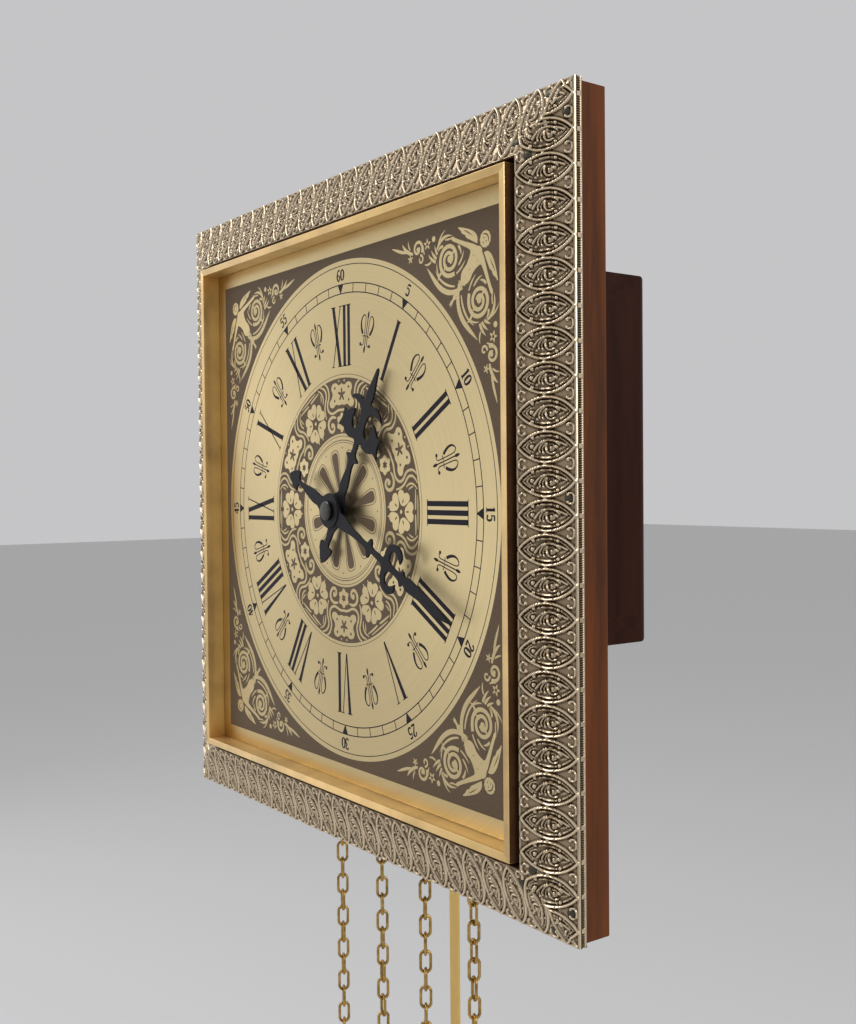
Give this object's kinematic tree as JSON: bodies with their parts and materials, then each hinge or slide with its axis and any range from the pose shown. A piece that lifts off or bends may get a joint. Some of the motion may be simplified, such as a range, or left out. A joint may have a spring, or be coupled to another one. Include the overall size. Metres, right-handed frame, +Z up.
{
  "type": "wall clock",
  "caption": "Square wall clock with a stamped metal surround, gold dial, two hands, chain-hung weights, a pendulum and a wooden movement case behind the dial.",
  "frame": {"origin": "on the wall plane, straight behind the middle of the dial", "axes": "X to the right seen from the front, +Y towards the wall, +Z up"},
  "size_m": [0.33, 0.0975, 0.652],
  "materials": {
    "mahogany": "satin varnish",
    "dark_mahogany": "satin varnish",
    "stamped_metal": "antique stamped relief",
    "gilt_bezel": "satin gilt front, stained outer side",
    "dial_gold": "circular brushed, printed",
    "board": "plain board",
    "black_steel": "black",
    "dark_steel": "dark domed heads",
    "zinc_steel": "plain",
    "iron": "cast",
    "brass": "satin",
    "polished_brass": "polished",
    "chain_brass": "aged"
  },
  "bodies": {
    "case": {"rail_top": "mahogany", "rail_right": "mahogany", "rail_bottom": "mahogany", "rail_left": "mahogany", "fascia_top": "stamped_metal", "fascia_right": "stamped_metal", "fascia_bottom": "stamped_metal", "fascia_left": "stamped_metal", "bezel_top": "gilt_bezel", "bezel_right": "gilt_bezel", "bezel_bottom": "gilt_bezel", "bezel_left": "gilt_bezel", "fascia_pins": "dark_steel", "dial_board": "board", "dial_plate": "dial_gold", "case_bottom": "dark_mahogany", "case_top": "dark_mahogany", "case_left": "dark_mahogany", "case_right": "dark_mahogany", "rear_cover": "board", "hanger_plate": "zinc_steel", "cover_screws": "zinc_steel", "front_plate": "brass", "back_plate": "brass", "plate_pillars": "brass", "movement_posts": "zinc_steel", "suspension_cock": "brass", "gong_block": "iron", "gong_rods": "zinc_steel", "going_chain_wrap": "chain_brass", "strike_chain_wrap": "chain_brass"},
    "minute_train": {"centre_wheel": "brass", "cannon_pinion": "zinc_steel", "minute_hand": "black_steel", "hand_nut": "black_steel"},
    "hour_train": {"hour_wheel": "brass", "hour_hand": "black_steel"},
    "minute_wheel": {"minute_wheel": "brass"},
    "going_great_wheel": {"going_great_wheel": "brass"},
    "third_wheel": {"third_wheel": "brass"},
    "escape_wheel": {"escape_wheel": "brass"},
    "anchor": {"pallet_anchor": "zinc_steel", "crutch": "zinc_steel"},
    "pendulum": {"suspension_spring": "zinc_steel", "pendulum_rod": "brass", "pendulum_bob": "polished_brass", "rating_nut": "brass"},
    "strike_great_wheel": {"strike_great_wheel": "brass"},
    "pin_wheel": {"pin_wheel": "brass"},
    "fly": {"fly": "brass"},
    "hammer": {"hammer": "zinc_steel"},
    "going_weight": {"going_weight": "polished_brass", "going_weight_chain": "chain_brass"},
    "going_ring": {"going_free_chain": "chain_brass"},
    "going_chain_wheel": {"going_chain_wheel": "brass"},
    "strike_weight": {"strike_weight": "polished_brass", "strike_weight_chain": "chain_brass"},
    "strike_ring": {"strike_free_chain": "chain_brass"},
    "strike_chain_wheel": {"strike_chain_wheel": "brass"}
  },
  "joints": [
    {"name": "minute_hand_turn", "type": "hinge", "parent": "case", "child": "minute_train", "pos_m": [0, -0.045, 0], "axis": [0, 1, 0], "continuous": true},
    {"name": "hour_hand_turn", "type": "hinge", "parent": "case", "child": "hour_train", "pos_m": [0, -0.045, 0], "axis": [0, 1, 0], "continuous": true},
    {"name": "minute_wheel_turn", "type": "hinge", "parent": "case", "child": "minute_wheel", "pos_m": [0, -0.045, -0.015], "axis": [0, 1, 0], "continuous": true},
    {"name": "going_great_wheel_turn", "type": "hinge", "parent": "case", "child": "going_great_wheel", "pos_m": [0.0389, -0.045, 0.00741], "axis": [0, 1, 0], "continuous": true},
    {"name": "third_wheel_turn", "type": "hinge", "parent": "case", "child": "third_wheel", "pos_m": [0, -0.045, 0.0324], "axis": [0, 1, 0], "continuous": true},
    {"name": "escape_wheel_turn", "type": "hinge", "parent": "case", "child": "escape_wheel", "pos_m": [0, -0.045, 0.0528], "axis": [0, 1, 0], "continuous": true},
    {"name": "pendulum_swing", "type": "hinge", "parent": "case", "child": "pendulum", "pos_m": [0, -0.02, 0.075], "axis": [0, 1, 0], "range_deg": [-4, 4]},
    {"name": "anchor_rock", "type": "hinge", "parent": "case", "child": "anchor", "pos_m": [0, -0.034, 0.075], "axis": [0, 1, 0], "range_deg": [-4, 4]},
    {"name": "strike_great_wheel_turn", "type": "hinge", "parent": "case", "child": "strike_great_wheel", "pos_m": [-0.0389, -0.045, 0.00741], "axis": [0, 1, 0], "continuous": true},
    {"name": "pin_wheel_turn", "type": "hinge", "parent": "case", "child": "pin_wheel", "pos_m": [-0.0389, -0.045, 0.04701], "axis": [0, 1, 0], "continuous": true},
    {"name": "fly_turn", "type": "hinge", "parent": "case", "child": "fly", "pos_m": [-0.05665, -0.045, 0.05726], "axis": [0, 1, 0], "continuous": true},
    {"name": "hammer_lift", "type": "hinge", "parent": "case", "child": "hammer", "pos_m": [-0.076, -0.044, 0.04], "axis": [0, -1, 0], "range_deg": [0, 18]},
    {"name": "going_weight_slide", "type": "slide", "parent": "case", "child": "going_weight", "axis": [0, 0, 1], "range_m": [-0.05, 0.05], "deforming": ["going_weight_chain"]},
    {"name": "going_ring_slide", "type": "slide", "parent": "case", "child": "going_ring", "axis": [0, 0, 1], "range_m": [-0.05, 0.05], "deforming": ["going_free_chain"]},
    {"name": "going_chain_wheel_turn", "type": "hinge", "parent": "case", "child": "going_chain_wheel", "pos_m": [0.0389, -0.053, 0.00741], "axis": [0, 1, 0], "range_deg": [-146.45, 146.45]},
    {"name": "strike_weight_slide", "type": "slide", "parent": "case", "child": "strike_weight", "axis": [0, 0, 1], "range_m": [-0.05, 0.05], "deforming": ["strike_weight_chain"]},
    {"name": "strike_ring_slide", "type": "slide", "parent": "case", "child": "strike_ring", "axis": [0, 0, 1], "range_m": [-0.05, 0.05], "deforming": ["strike_free_chain"]},
    {"name": "strike_chain_wheel_turn", "type": "hinge", "parent": "case", "child": "strike_chain_wheel", "pos_m": [-0.0389, -0.053, 0.00741], "axis": [0, 1, 0], "range_deg": [-146.45, 146.45]}
  ],
  "couplings": [
    {"joint": "hour_hand_turn", "follows": "minute_hand_turn", "ratio": 0.083333},
    {"joint": "minute_wheel_turn", "follows": "minute_hand_turn", "ratio": -0.33333},
    {"joint": "going_great_wheel_turn", "follows": "minute_hand_turn", "ratio": -0.11111},
    {"joint": "third_wheel_turn", "follows": "minute_hand_turn", "ratio": -8},
    {"joint": "escape_wheel_turn", "follows": "minute_hand_turn", "ratio": 60},
    {"joint": "anchor_rock", "follows": "pendulum_swing", "ratio": 1},
    {"joint": "pin_wheel_turn", "follows": "strike_great_wheel_turn", "ratio": -9},
    {"joint": "fly_turn", "follows": "strike_great_wheel_turn", "ratio": 64.8},
    {"joint": "going_ring_slide", "follows": "going_weight_slide", "ratio": -1},
    {"joint": "going_chain_wheel_turn", "follows": "going_weight_slide", "rad_per_m": -50.947},
    {"joint": "strike_ring_slide", "follows": "strike_weight_slide", "ratio": -1},
    {"joint": "strike_chain_wheel_turn", "follows": "strike_weight_slide", "rad_per_m": 50.947}
  ]
}
